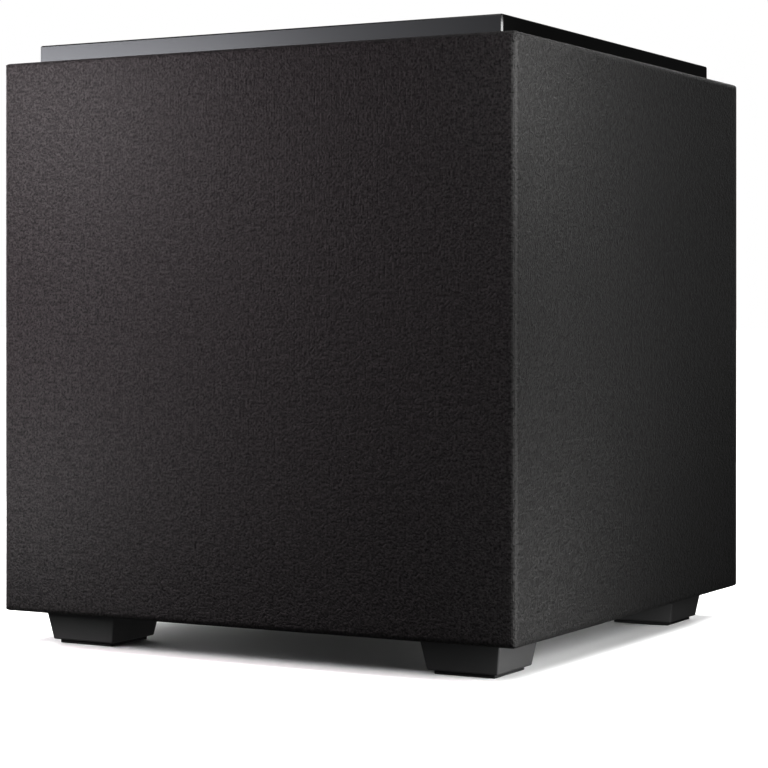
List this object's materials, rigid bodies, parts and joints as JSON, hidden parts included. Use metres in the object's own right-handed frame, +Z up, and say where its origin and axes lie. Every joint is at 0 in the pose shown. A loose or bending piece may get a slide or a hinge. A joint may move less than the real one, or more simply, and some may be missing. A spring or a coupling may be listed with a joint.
{
  "type": "powered subwoofer",
  "caption": "Cube powered subwoofer in black cloth with a gloss cap, tapered feet, a front driver, a passive radiator in each side and a rear plate amplifier.",
  "frame": {"origin": "on the floor, under the centre of the bounding box", "axes": "+Z up, -Y out of the front face, +X to the viewer's right when facing the front"},
  "size_m": [0.384, 0.38, 0.4057],
  "materials": {
    "painted_board": "fibreboard sprayed matt black",
    "black_cloth": "fine plain-weave black polyester grille cloth",
    "gloss_lacquer": "polished black lacquer",
    "satin_plastic": "satin black moulded plastic",
    "rubber": "matt black rubber",
    "cast_frame": "die-cast and powder coated black",
    "cone_paper": "pressed paper pulp, dyed black",
    "spider_cloth": "resin-dipped woven cloth",
    "zinc_steel": "zinc plated",
    "ferrite": "ground ferrite",
    "copper_winding": "enamelled copper wire",
    "black_aluminium": "black anodised, fine grain",
    "circuit_board": "glass-fibre board with solder mask",
    "gold_plate": "gold plated",
    "status_lens": "tinted clear lens"
  },
  "bodies": {
    "cabinet": {"front_baffle": "painted_board", "rear_panel": "painted_board", "left_side_panel": "painted_board", "right_side_panel": "painted_board", "top_panel": "painted_board", "bottom_panel": "painted_board", "centre_brace": "painted_board", "front_grille_frame": "painted_board", "left_grille_frame": "painted_board", "right_grille_frame": "painted_board", "fabric_sleeve": "black_cloth", "rear_trim_frame": "satin_plastic", "top_cap": "gloss_lacquer", "front_left_foot": "satin_plastic", "front_right_foot": "satin_plastic", "rear_left_foot": "satin_plastic", "rear_right_foot": "satin_plastic", "front_left_foot_pad": "rubber", "front_right_foot_pad": "rubber", "rear_left_foot_pad": "rubber", "rear_right_foot_pad": "rubber", "driver_basket": "cast_frame", "driver_gasket": "rubber", "driver_surround": "rubber", "driver_spider": "spider_cloth", "motor_top_plate": "zinc_steel", "motor_magnet": "ferrite", "motor_yoke": "zinc_steel", "driver_terminal": "satin_plastic", "driver_lead": "rubber", "left_radiator_frame": "cast_frame", "left_radiator_surround": "rubber", "left_radiator_spider": "spider_cloth", "right_radiator_frame": "cast_frame", "right_radiator_surround": "rubber", "right_radiator_spider": "spider_cloth", "amp_plate": "black_aluminium", "amp_chassis": "zinc_steel", "amp_board": "circuit_board", "power_transformer": "copper_winding", "heat_sink": "black_aluminium", "rocker_housing": "satin_plastic", "mains_inlet": "satin_plastic", "line_in_left": "gold_plate", "line_in_right": "gold_plate", "status_lamp": "status_lens"},
    "cone_assembly": {"driver_cone": "cone_paper", "driver_dust_cap": "cone_paper", "coil_former": "cone_paper", "voice_coil": "copper_winding"},
    "left_radiator_cone": {"left_radiator_diaphragm": "cone_paper", "left_radiator_mass": "zinc_steel"},
    "right_radiator_cone": {"right_radiator_diaphragm": "cone_paper", "right_radiator_mass": "zinc_steel"},
    "level_knob": {"level_knob": "satin_plastic"},
    "crossover_knob": {"crossover_knob": "satin_plastic"},
    "phase_lever": {"phase_lever": "satin_plastic"},
    "mode_lever": {"mode_lever": "satin_plastic"},
    "power_rocker": {"power_rocker": "satin_plastic"},
    "fuse_drawer": {"fuse_drawer": "satin_plastic"}
  },
  "joints": [
    {"name": "cone_travel", "type": "slide", "parent": "cabinet", "child": "cone_assembly", "axis": [0, -1, 0], "range_m": [-0.012, 0.012], "stiffness_N_per_m": 3200, "deforming": ["driver_surround", "driver_spider"]},
    {"name": "left_radiator_travel", "type": "slide", "parent": "cabinet", "child": "left_radiator_cone", "axis": [-1, 0, 0], "range_m": [-0.012, 0.012], "stiffness_N_per_m": 4000, "deforming": ["left_radiator_surround", "left_radiator_spider"]},
    {"name": "right_radiator_travel", "type": "slide", "parent": "cabinet", "child": "right_radiator_cone", "axis": [1, 0, 0], "range_m": [-0.012, 0.012], "stiffness_N_per_m": 4000, "deforming": ["right_radiator_surround", "right_radiator_spider"]},
    {"name": "level_turn", "type": "hinge", "parent": "cabinet", "child": "level_knob", "pos_m": [0.066, 0.178, 0.215], "axis": [0, -1, 0], "range_deg": [-150, 150]},
    {"name": "crossover_turn", "type": "hinge", "parent": "cabinet", "child": "crossover_knob", "pos_m": [0.022, 0.178, 0.215], "axis": [0, -1, 0], "range_deg": [-150, 150]},
    {"name": "phase_slide", "type": "slide", "parent": "cabinet", "child": "phase_lever", "axis": [1, 0, 0], "range_m": [0, 0.004]},
    {"name": "mode_slide", "type": "slide", "parent": "cabinet", "child": "mode_lever", "axis": [1, 0, 0], "range_m": [0, 0.004]},
    {"name": "power_rock", "type": "hinge", "parent": "cabinet", "child": "power_rocker", "pos_m": [0.022, 0.1783, 0.108], "axis": [1, 0, 0], "range_deg": [0, 24]},
    {"name": "fuse_pull", "type": "slide", "parent": "cabinet", "child": "fuse_drawer", "axis": [0, 1, 0], "range_m": [0, 0.021]}
  ],
  "couplings": [
    {"joint": "right_radiator_travel", "follows": "left_radiator_travel", "ratio": 1}
  ]
}
